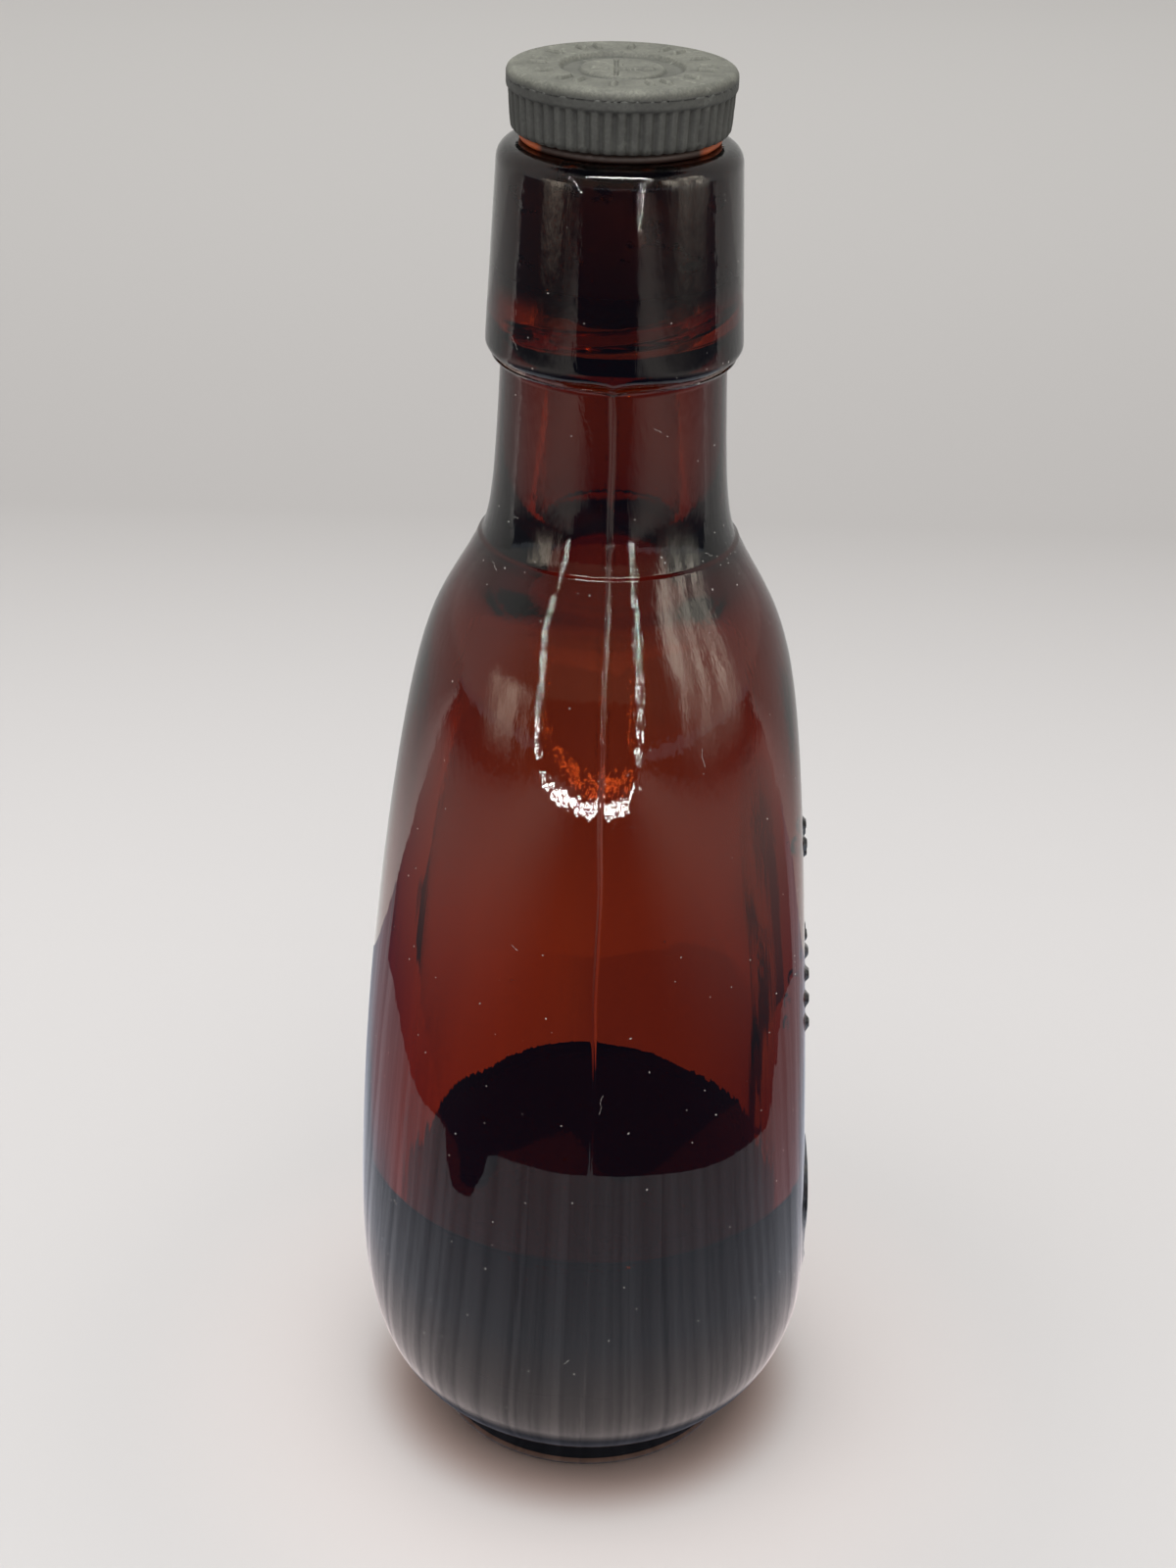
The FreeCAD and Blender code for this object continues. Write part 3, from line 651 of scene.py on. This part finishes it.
class Shading:
    """The node tree of a material or of the world, with short ways to add what they share.
    A value may be a number, a vector, a colour or another node's output."""

    def __init__(self, owner):
        owner.use_nodes = True
        self.nodes = owner.node_tree.nodes
        self.links = owner.node_tree.links

    def fill(self, socket, value):
        """Sets a socket to a value, or links another node's output to it."""
        if isinstance(value, bpy.types.NodeSocket):
            self.links.new(value, socket)
        elif socket.type == "RGBA":
            socket.default_value = (*value, 1)
        else:
            socket.default_value = value

    def add(self, kind, inputs, **settings):
        """A new node with its settings, and its inputs by name or number."""
        node = self.nodes.new("ShaderNode" + kind)
        for setting, value in settings.items():
            setattr(node, setting, value)
        for name, value in inputs.items():
            self.fill(node.inputs[name], value)
        return node

    def coordinates(self, kind="Object"):
        return self.add("TexCoord", {}).outputs[kind]

    def axes(self, kind="Object"):
        """The X, Y and Z of the coordinates."""
        return self.add("SeparateXYZ", {"Vector": self.coordinates(kind)}).outputs

    def off_axis(self):
        """The way from the bottle's axis, level."""
        return self.vector("MULTIPLY", self.coordinates(), (1, 1, 0))

    def math(self, operation, *values):
        return self.add("Math", dict(enumerate(values)), operation=operation).outputs["Value"]

    def vector(self, operation, *values):
        node = self.add("VectorMath", dict(enumerate(values)), operation=operation)
        return node.outputs["Value" if operation == "LENGTH" else "Vector"]

    def noise(self, scale, detail, stretch=(1, 1, 1)):
        """Noise over the object's own coordinates, stretched along its axes."""
        mapped = self.add("Mapping", {"Vector": self.coordinates(), "Scale": stretch}).outputs["Vector"]
        return self.add("TexNoise", {"Vector": mapped, "Scale": scale, "Detail": detail}).outputs["Fac"]

    def streaks(self, scale, detail, rise):
        """Noise over the direction from the axis, so that its streaks run up the bottle on any slope."""
        direction = self.vector("NORMALIZE", self.off_axis())
        place = self.vector("MULTIPLY_ADD", self.coordinates(), (0, 0, rise), direction)
        return self.add("TexNoise", {"Vector": place, "Scale": scale, "Detail": detail}).outputs["Fac"]

    def ramp(self, value, stops):
        """A colour for a value: stops are (position, colour)."""
        node = self.add("ValToRGB", {"Fac": value})
        elements = node.color_ramp.elements
        while len(elements) < len(stops):
            elements.new(0.5)
        for element, (position, colour) in zip(elements, stops):
            element.position = position
            element.color = (*colour, 1)
        return node.outputs["Color"]

    def spread(self, value, low, high):
        """A value stretched so that low gives 0 and high gives 1."""
        limits = {"Value": value, "From Min": low, "From Max": high}
        return self.add("MapRange", limits, interpolation_type="SMOOTHSTEP").outputs["Result"]

    def choose(self, share, first, second):
        """The first colour where the share is 0 and the second where it is 1."""
        colours = {"Factor": share, "A": first, "B": second}
        return self.add("Mix", colours, data_type="RGBA").outputs["Result"]

    def tint(self, first, second):
        """Two colours multiplied."""
        colours = {"Factor": 1.0, "A": first, "B": second}
        return self.add("Mix", colours, data_type="RGBA", blend_type="MULTIPLY").outputs["Result"]

    def bump(self, height, strength, distance):
        inputs = {"Height": height, "Strength": strength, "Distance": distance}
        return self.add("Bump", inputs).outputs["Normal"]

    def glow(self, colour, strength=1.0):
        return self.add("Emission", {"Color": colour, "Strength": strength}).outputs["Emission"]

    def clear(self):
        return self.add("BsdfTransparent", {}).outputs["BSDF"]

    def mix_shaders(self, share, first, second):
        return self.add("MixShader", {"Fac": share, 1: first, 2: second}).outputs["Shader"]

    def surface(self, inputs):
        """Sets inputs of the material's own shader by name."""
        principled = self.nodes["Principled BSDF"]
        for name, value in inputs.items():
            self.fill(principled.inputs[name], value)
        return principled.outputs["BSDF"]

    def output(self, value, name="Surface"):
        self.fill(self.nodes["Material Output"].inputs[name], value)


def new_material(name):
    material = bpy.data.materials.new(name)
    return material, Shading(material)


def bare_material(name):
    """A material without a shader of its own, for the stage."""
    material, shading = new_material(name)
    shading.nodes.remove(shading.nodes["Principled BSDF"])
    return material, shading


def glow_material(name, colour, strength=1.0):
    material, shading = bare_material(name)
    shading.output(shading.glow(colour, strength))
    return material


def grey(value):
    return (value, value, value)


# ---------------------------------------------------------------- materials of the pieces

AMBER = (0.744, 0.396, 0.06)
AMBER_DENSITY = 480.0  # light fades by (1 - colour) times this for each metre of glass
GLASS_IOR = 1.52
BORE_TINT = (0.18, 0.19, 0.22)
NECK_TINT = (0.62, 0.57, 0.72)
TINT_RADII = (13.5 * MM, 12.5 * MM)  # the tint starts within the first and is full within the second
NECK_TINT_LEVELS = (0.139, 0.150)
BORE_TINT_LEVELS = (BORE_LEVEL * MM - 0.006, BORE_LEVEL * MM + 0.004)
GRAIN_LEVELS = (0.09, 0.14)  # below these the glass ripples in streaks, above them it has a fine grain
RESIDUE_FADE = 0.006
# painted shade: below the first level the head's side is painted darker and bluer; above the second its top
# keeps its own grey
HEAD_SHADE_LEVELS = ((HEAD_TOP - 1.9) * MM, (HEAD_TOP - 0.7) * MM)
SEAL_SHADE_EDGES = (0.0098, 0.0108)  # painted shade: the washer is painted dark nearer than this to its middle along Y, where the head shades it, and shows its own red beyond this far to either side


def neck_and_bore_tint(shading):
    """White all over, but for a darker, bluish tint inside the neck and a darker one still inside the
    threaded bore.
    """
    height = shading.axes()["Z"]
    inside = shading.spread(shading.vector("LENGTH", shading.off_axis()), *TINT_RADII)
    in_neck = shading.math("MULTIPLY", inside, shading.spread(height, *NECK_TINT_LEVELS))
    in_bore = shading.math("MULTIPLY", inside, shading.spread(height, *BORE_TINT_LEVELS))
    return shading.choose(in_bore, shading.choose(in_neck, grey(1.0), NECK_TINT), BORE_TINT)


def glass_material():
    """Thick amber glass, lightly smudged, streaked below and finely grained above."""
    material, shading = new_material("amber_glass")
    smudges = shading.ramp(shading.noise(60, 5, (1, 1, 0.35)), [(0.45, grey(0.0)), (0.75, grey(0.035))])
    ripple = shading.add("Mix", {
        "Factor": shading.spread(shading.axes()["Z"], *GRAIN_LEVELS),
        "A": shading.streaks(22, 2, 0.7),
        "B": shading.math("MULTIPLY", shading.noise(1500, 2, (1, 1, 0.3)), 1.4),
    })
    shading.surface({
        "Base Color": neck_and_bore_tint(shading),
        "Roughness": smudges,
        "IOR": GLASS_IOR,
        "Transmission Weight": 1,
        "Normal": shading.bump(ripple.outputs["Result"], 0.1, 0.0002),
    })
    absorption = shading.add("VolumeAbsorption", {"Color": AMBER, "Density": AMBER_DENSITY})
    shading.output(absorption.outputs["Volume"], "Volume")
    return material


def drink_material():
    material, shading = new_material("dark_drink")
    shades = [(0.3, (0.006, 0.004, 0.006)), (0.7, (0.012, 0.006, 0.007))]
    shading.surface({
        "Base Color": shading.ramp(shading.noise(90, 2), shades),
        "Roughness": 0.03,
        "IOR": 1.34,
        "Specular IOR Level": 0.2,
    })
    return material


def ebonite_material():
    """Weathered hard rubber: grey and finely pitted, painted darker down its side as shade, with painted
    shade in its crevices and worn pale edges.
    """
    material, shading = new_material("ebonite")
    grain = shading.noise(2600, 3)
    rubber = shading.ramp(shading.noise(260, 6), [
        (0.3, (0.107, 0.109, 0.090)), (0.7, (0.165, 0.168, 0.138)),
    ])
    speckled = shading.tint(rubber, shading.ramp(grain, [(0.35, grey(0.72)), (0.75, grey(1.25))]))
    # painted shade down the side, under the top
    above_painted_shade = shading.spread(shading.axes()["Z"], *HEAD_SHADE_LEVELS)
    shaded = shading.tint(speckled, shading.ramp(above_painted_shade, [(0, (0.42, 0.43, 0.47)), (1, grey(1.0))]))
    # painted shade in the crevices, where the surface is hollow, and worn pale edges where it is sharp
    wear_and_crevice_shade = shading.ramp(shading.add("NewGeometry", {}).outputs["Pointiness"], [
        (0.44, grey(0.5)), (0.49, grey(0.95)), (0.52, grey(1.0)), (0.58, grey(1.3)),
    ])
    shading.surface({
        "Base Color": shading.tint(shaded, wear_and_crevice_shade),
        "Roughness": shading.ramp(grain, [(0.3, grey(0.6)), (0.7, grey(0.85))]),
        "Normal": shading.bump(grain, 0.5, 0.0001),
    })
    return material


def residue_material():
    """Patchy and nearly black; clearer towards its lower edge."""
    material, shading = new_material("dried_drink")
    low = RESIDUE_FOOT * MM
    patches = shading.spread(shading.noise(160, 5, (1, 1, 1.6)), 0.28, 0.42)
    above = shading.spread(shading.axes()["Z"], low, low + RESIDUE_FADE)
    shading.surface({
        "Base Color": (0.02, 0.016, 0.018),
        "Roughness": 0.7,
        "Alpha": shading.math("MULTIPLY", patches, above),
    })
    return material


def rubber_material():
    """Faded red rubber at its two sides, painted dark between them as shade under the head."""
    material, shading = new_material("red_rubber")
    fade = shading.noise(500, 4)
    own_red = shading.ramp(fade, [(0.3, (0.42, 0.075, 0.015)), (0.7, (0.62, 0.14, 0.03))])
    # painted shade: the washer's middle along Y, under the head, is painted a near-black red; its two sides
    # keep their faded red
    beside_painted_shade = shading.spread(shading.math("ABSOLUTE", shading.axes()["Y"]), *SEAL_SHADE_EDGES)
    shading.surface({
        "Base Color": shading.choose(beside_painted_shade, (0.035, 0.014, 0.010), own_red),
        "Roughness": 0.6,
        "Normal": shading.bump(fade, 0.3, 0.0001),
    })
    return material


def dust_material():
    material, shading = new_material("dust")
    shades = [(0.35, (0.30, 0.27, 0.25)), (0.65, (0.75, 0.72, 0.68))]
    shading.surface({"Base Color": shading.ramp(shading.noise(400, 2), shades), "Roughness": 0.9})
    return material


# ---------------------------------------------------------------- the pieces

def build_bottle():
    profile, labels = glass_profile()
    mesh = turned_mesh("amber_bottle", profile, glass_angles(), shape_glass(labels))
    return add_piece("amber_bottle", mesh, glass_material(), "bottle")


def build_dust(bottle):
    add_piece("surface_dust", dust_mesh(bottle.data), dust_material())


def build_stopper():
    mesh = join_meshes("screw_stopper", [head_mesh(), shank_mesh()])
    add_piece("screw_stopper", mesh, ebonite_material(), "stopper")


def build_residue():
    add_piece("thread_residue", residue_mesh(), residue_material())


def build_seal():
    add_piece("rubber_seal", seal_mesh(), rubber_material(), "seal_ring")


def build_drink():
    add_piece("drink_left", drink_mesh(), drink_material(), "drink")


# ---------------------------------------------------------------- the stage: sizes in metres, and colours

FLOOR_REACH = 4.0
STAGE_LIFT = 0.0005  # what stands on the floor starts this far above it
# the floor's colour: painted shade in the middle distance, painted light far off, and a lighter warm ring of
# painted light outside the glow round the foot
FLOOR_NEAR = (0.62, 0.605, 0.60)
FLOOR_MIDDLE = (0.48, 0.465, 0.455)
FLOOR_FAR = (0.80, 0.785, 0.765)
FLOOR_BY_FOOT = (0.73, 0.68, 0.665)
FLOOR_GLOW = (0.52, 0.39, 0.35)  # painted light: amber light painted right round the foot, where light comes through the glass
GLOW_EDGES = (0.026, 0.037, 0.08)  # how far out the glow starts to fade, has faded, and is plain paper

# the floor as the glass shows it through itself, glowing: painted shadow under the foot, between two
# distances, and painted shade and light from one side to the other
FOOT_SHADOW = (0.02, 0.022, 0.035)
FOOT_SHADOW_EDGES = (0.042, 0.10)
FLOOR_SHADED_SIDE = (0.60, 0.58, 0.57)
FLOOR_LIT = (1.0, 0.96, 0.93)
FLOOR_SIDES = (-0.01, 0.05)

# the floor as the glass mirrors it, a glowing painted reflection: painted shadow right by the foot, a warm
# painted highlight just beyond, dimmer further off; by shares of the way between two distances
MIRRORED_EDGES = (0.027, 0.15)
MIRRORED = [
    (0, (0.11, 0.11, 0.13)), (0.004, (0.95, 0.82, 0.79)), (0.3, (0.68, 0.68, 0.74)),
    (0.65, (0.52, 0.54, 0.61)), (1, (0.42, 0.45, 0.50)),
]
# painted streaks across the mirrored floor
MIRRORED_STREAKS = [(0.35, (0.76, 0.77, 0.80)), (0.65, (1.22, 1.22, 1.24))]

BACKDROP = 0.134
BACKDROP_TOP = 0.139
BACKDROP_SIDE = 1.2
WALL_PLACE = BACKDROP + 0.03
WALL_TOP = 1.0
# painted light and shade on the glowing backdrop: lit at its foot, more on the +Y side, and painted darker
# higher up
PAPER_FOOT = (0.74, 0.725, 0.71)
PAPER_LIT = (1.0, 0.97, 0.94)
PAPER_SIDES = (-0.02, 0.08)
PAPER_HIGH = (0.46, 0.45, 0.44)
PAPER_LEVELS = (0.0, 0.06)
WALL_GLOW = (0.56, 0.55, 0.53)

# the dark room: a ring's part flat over the table, whose colours change with the distance aside
DARK_ROOM_LIFT = 0.001
DARK_ROOM_REACH = 2.0
DARK_ROOM_EDGE = 0.148
DARK_ROOM_TURNS = np.radians(np.arange(-112, 126, 2))
FLOOR_ASIDE = (0.62, 0.57, 0.55)
FLOOR_ASIDE_EDGES = (0.12, 0.42)
FAR_ASIDE = (0.10, 0.10, 0.13)
FAR_ASIDE_EDGES = (0.45, 0.75)

LAMP_DISTANCE = -0.70
LAMP_HALF = 0.0057
LAMP_SPACING = 25
LAMP_FRAME = [  # across and up, in millimetres, with the rounding of each corner
    (1060, 1500), (600, 430, 400), (525, 20, 190), (-260, 20, 120), (-285, 540, 400), (-670, 1500),
]
LAMP_GLOW = ((1.0, 0.98, 0.92), 100.0)
HIGH_LAMP = (-0.30, 0.24, -0.20, 0.60, 0.78)  # x, both sides, and both levels
HIGH_LAMP_GLOW = ((1.0, 0.99, 0.95), 22.0)
DARK_CARD = (-0.25, 0.168, -0.086, 0.096, 0.176)
DARK_CARD_COLOUR = (0.06, 0.06, 0.10)
CARD_DISTANCE = 0.8
CARD_LEVEL = 0.125  # the shoulder's, from which the side cards' elevations are measured
SIDE_CARDS = [  # name, two azimuths from -X towards +Y and two elevations in degrees, colour and strength
    ("card_right", (-92, -38), (-10, 40), (1.0, 0.92, 0.78), 4.4),
    ("card_left", (42, 76), (-8, 12), (1.0, 0.86, 0.7), 3.4),
]
TOP_LIGHT = {"place": (-0.10, 0.05, 0.9), "aim": (0, 0, 0.05), "size": 1.0, "power": 9.0}

# the room all round, seen in the glass, and the shares of a direction's X or Z between which it changes
DARK_SIDE = (0.055, 0.05, 0.10)
DIM_SIDE = (0.26, 0.22, 0.2)
HORIZON = (-0.2, 0.2)
BRIGHT_SIDE = (0.6, 0.59, 0.58)
FAR_SIDE = (-0.8, -0.1)
CEILING = (0.03, 0.03, 0.05)
OVERHEAD = (0.72, 0.86)
AROUND = (0.50, 0.49, 0.48)
UPWARDS = (0.1, 0.5)

CAMERA_PLACE = (-0.3494, 0.00186, 0.2866)
CAMERA_PITCH = math.radians(27.13)
CAMERA_ROLL = math.radians(1.61)
CAMERA_LENS = 62.06


def stage_object(name, mesh, material):
    mesh.materials.append(material)
    thing = new_object(name, mesh)
    return thing


def stage_plane(name, corners, material):
    mesh = bpy.data.meshes.new(name)
    mesh.from_pydata(corners, [], [tuple(range(len(corners)))])
    return stage_object(name, mesh, material)


def upright(x, left, right, low, high):
    """The corners of an upright rectangle across the X axis."""
    return [(x, left, low), (x, right, low), (x, right, high), (x, left, high)]


def only_for(thing, glossy=False, transmission=False):
    """Hides a stage piece from the camera and from diffuse light, and lets it be seen in the glass."""
    thing.visible_camera = False
    thing.visible_diffuse = False
    thing.visible_shadow = False
    thing.visible_volume_scatter = False
    thing.visible_glossy = glossy
    thing.visible_transmission = transmission


def paper_colour(shading, place, distance):
    """The floor's colour: pale paper with painted shade in the middle distance and painted light far off, and
    painted warm light right round the foot.
    """
    glow_start, glow_end, plain = GLOW_EDGES
    back = shading.spread(place["X"], BACKDROP, BACKDROP + 1.0)
    paper = shading.ramp(back, [(0, FLOOR_NEAR), (0.15, FLOOR_MIDDLE), (1, FLOOR_FAR)])
    near = shading.choose(shading.spread(distance, glow_start, glow_end), FLOOR_GLOW, FLOOR_BY_FOOT)
    return shading.choose(shading.spread(distance, glow_end, plain), near, paper)


def floor_material():
    """Pale paper. Mirrored in the glass it glows as a painted reflection that is streaked and dims with the
    distance;
    seen through the glass it glows with painted shadow under the foot and painted light on the +Y side."""
    material, shading = new_material("pale_floor")
    place = shading.axes()
    distance = shading.vector("LENGTH", shading.coordinates())
    shader = shading.surface({
        "Base Color": paper_colour(shading, place, distance), "Roughness": 0.9, "Specular IOR Level": 0.1,
    })
    mirrored = shading.tint(
        shading.ramp(shading.spread(distance, *MIRRORED_EDGES), MIRRORED),
        shading.ramp(shading.streaks(14, 3, 0), MIRRORED_STREAKS),
    )
    beside = shading.choose(shading.spread(place["Y"], *FLOOR_SIDES), FLOOR_SHADED_SIDE, FLOOR_LIT)
    through = shading.choose(shading.spread(distance, *FOOT_SHADOW_EDGES), FOOT_SHADOW, beside)
    path = shading.add("LightPath", {}).outputs
    shader = shading.mix_shaders(path["Is Glossy Ray"], shader, shading.glow(mirrored))
    shader = shading.mix_shaders(path["Is Transmission Ray"], shader, shading.glow(through))
    shading.output(shader)
    return material


def paper_material():
    """The backdrop as the glass shows it, glowing with painted light and shade: brightest at its foot, where
    it meets the lit table, more so on the +Y side, and painted darker higher up.
    """
    material, shading = bare_material("paper_glow")
    place = shading.axes()
    low = shading.choose(shading.spread(place["Y"], *PAPER_SIDES), PAPER_FOOT, PAPER_LIT)
    colour = shading.choose(shading.spread(place["Z"], *PAPER_LEVELS), low, PAPER_HIGH)
    shading.output(shading.glow(colour))
    return material


def build_floor():
    reach = FLOOR_REACH
    corners = [(-reach, -reach, 0), (reach, -reach, 0), (reach, reach, 0), (-reach, reach, 0)]
    stage_plane("floor", corners, floor_material())


def build_backdrop():
    """A low glowing sheet close behind the bottle and a high wall behind it, seen only in the glass."""
    for name, x, top, material in (
        ("backdrop_low", BACKDROP, BACKDROP_TOP, paper_material()),
        ("backdrop_high", WALL_PLACE, WALL_TOP, glow_material("wall_glow", WALL_GLOW)),
    ):
        corners = upright(x, BACKDROP_SIDE, -BACKDROP_SIDE, STAGE_LIFT, top)
        only_for(stage_plane(name, corners, material), glossy=True, transmission=True)


def dark_room_material():
    """Clear where the glass looks through itself, dark where it mirrors, and dim towards both sides."""
    material, shading = bare_material("dark_room")
    aside = shading.math("ABSOLUTE", shading.axes()["Y"])
    table = shading.ramp(shading.spread(aside, *FLOOR_ASIDE_EDGES), [(0, DARK_SIDE), (1, FLOOR_ASIDE)])
    colour = shading.choose(shading.spread(aside, *FAR_ASIDE_EDGES), table, FAR_ASIDE)
    mirrored = shading.add("LightPath", {}).outputs["Glossy Depth"]
    shading.output(shading.mix_shaders(mirrored, shading.clear(), shading.glow(colour)))
    return material


def dark_room_edge(turn):
    """How near the dark comes to the axis: round the camera's side, with a drip, and further off aside."""
    edge = DARK_ROOM_EDGE
    edge += 0.035 * smooth_step(1.4, 2.1, turn) + 0.06 * smooth_step(-1.47, -1.82, turn)
    edge -= 0.012 * smooth_step(0, -1.4, turn) + 0.028 * math.exp(-((turn - 0.98) / 0.17) ** 4)
    return edge


def build_dark_room():
    """The dark room beyond the lit table on the camera's side, seen only as the glass reflects it."""
    inner, outer = [], []
    for turn in DARK_ROOM_TURNS:
        for line, radius in ((inner, dark_room_edge(turn)), (outer, DARK_ROOM_REACH)):
            line.append((-radius * math.cos(turn), radius * math.sin(turn), DARK_ROOM_LIFT))
    plane = stage_plane("dark_room", inner + outer[::-1], dark_room_material())
    only_for(plane, glossy=True, transmission=True)


def build_lamp_frame():
    """A frame of small lamps round the camera, open at its top, seen only as the glass reflects it."""
    lamps = bmesh.new()
    for across, level in evenly(rounded(LAMP_FRAME), LAMP_SPACING):
        across, level = across * MM, level * MM
        corners = upright(
            LAMP_DISTANCE, across - LAMP_HALF, across + LAMP_HALF, level - LAMP_HALF, level + LAMP_HALF,
        )
        lamps.faces.new([lamps.verts.new(corner) for corner in corners])
    mesh = bpy.data.meshes.new("lamp_frame")
    lamps.to_mesh(mesh)
    lamps.free()
    glow = glow_material("lamp_glow", *LAMP_GLOW)
    only_for(stage_object("lamp_frame", mesh, glow), glossy=True, transmission=True)


def build_high_lamp():
    """A strip of light high on the camera's side, which only the lip and the shoulder's crease mirror."""
    glow = glow_material("high_glow", *HIGH_LAMP_GLOW)
    only_for(stage_plane("high_lamp", upright(*HIGH_LAMP), glow), glossy=True)


def build_dark_card():
    """A dark card between the bottle and the lamps, which keeps them off the collar and the neck."""
    card = stage_plane("dark_card", upright(*DARK_CARD), glow_material("dark_card", DARK_CARD_COLOUR))
    only_for(card, glossy=True, transmission=True)


def card_material(name, colour, strength):
    """A glow that fades out towards the card's edges and is streaked from top to bottom."""
    material, shading = bare_material(name)
    place = shading.axes("Generated")
    share = shading.spread(shading.noise(7, 3, (1, 1, 0.25)), 0.3, 0.62)
    for axis, low, high in (("Y", 0.0, 0.22), ("Y", 1.0, 0.78), ("Z", 0.0, 0.4), ("Z", 1.0, 0.75)):
        share = shading.math("MULTIPLY", share, shading.spread(place[axis], low, high))
    shading.output(shading.mix_shaders(share, shading.clear(), shading.glow(colour, strength)))
    return material


def build_side_card(name, azimuths, elevations, colour, strength):
    """A soft lamp at one side, between two azimuths and two elevations."""
    corners = []
    for azimuth, elevation in zip((0, 1, 1, 0), (0, 0, 1, 1)):
        turn, rise = math.radians(azimuths[azimuth]), math.radians(elevations[elevation])
        corners.append((
            -CARD_DISTANCE * math.cos(turn), CARD_DISTANCE * math.sin(turn),
            CARD_LEVEL + CARD_DISTANCE * math.tan(rise),
        ))
    only_for(stage_plane(name, corners, card_material(name, colour, strength)), glossy=True)


def build_world():
    """Plain light all round; in the glass the camera's side is dark, the far side bright, the top black."""
    world = bpy.data.worlds.new("studio")
    bpy.context.scene.world = world
    shading = Shading(world)
    direction = shading.axes("Generated")
    facing = shading.ramp(shading.spread(direction["Z"], *HORIZON), [(0, DARK_SIDE), (1, DIM_SIDE)])
    room = shading.choose(shading.spread(direction["X"], *FAR_SIDE), facing, BRIGHT_SIDE)
    room = shading.choose(shading.spread(direction["Z"], *OVERHEAD), room, CEILING)
    above = shading.ramp(shading.spread(direction["Z"], *UPWARDS), [(0, AROUND), (1, CEILING)])
    path = shading.add("LightPath", {}).outputs
    in_glass = shading.choose(path["Glossy Depth"], above, room)
    plain = shading.math("MAXIMUM", path["Is Camera Ray"], path["Is Diffuse Ray"])
    background = shading.nodes["Background"]
    shading.fill(background.inputs["Color"], shading.choose(plain, in_glass, AROUND))
    shading.fill(background.inputs["Strength"], 1.0)


def build_top_light():
    data = bpy.data.lights.new("top_light", "AREA")
    data.shape = "RECTANGLE"
    data.size = data.size_y = TOP_LIGHT["size"]
    data.energy = TOP_LIGHT["power"]
    light = new_object("top_light", data)
    light.location = TOP_LIGHT["place"]
    aim = Vector(TOP_LIGHT["aim"]) - light.location
    light.rotation_euler = aim.to_track_quat("-Z", "Y").to_euler()
    light.visible_glossy = False


def build_camera():
    """From the side of one seam, above the head and a little off the axis."""
    data = bpy.data.cameras.new("camera")
    camera = new_object("camera", data)
    bpy.context.scene.camera = camera
    data.sensor_width = 36
    data.lens = CAMERA_LENS
    data.clip_start = 0.01
    forward = Vector((math.cos(CAMERA_PITCH), 0, -math.sin(CAMERA_PITCH)))
    level_up = Vector((math.sin(CAMERA_PITCH), 0, math.cos(CAMERA_PITCH)))
    level_right = Vector((0, -1, 0))
    up = level_up * math.cos(CAMERA_ROLL) - level_right * math.sin(CAMERA_ROLL)
    right = level_right * math.cos(CAMERA_ROLL) + level_up * math.sin(CAMERA_ROLL)
    turned = Matrix((right, up, -forward)).transposed().to_4x4()
    turned.translation = Vector(CAMERA_PLACE)
    camera.matrix_world = turned


# ---------------------------------------------------------------- all of it

build_dust(build_bottle())
build_stopper()
build_residue()
build_seal()
build_drink()

build_floor()
build_backdrop()
build_dark_room()
build_lamp_frame()
build_high_lamp()
build_dark_card()
for card in SIDE_CARDS:
    build_side_card(*card)
build_world()
build_top_light()
build_camera()
bpy.context.scene.view_settings.view_transform = "Standard"
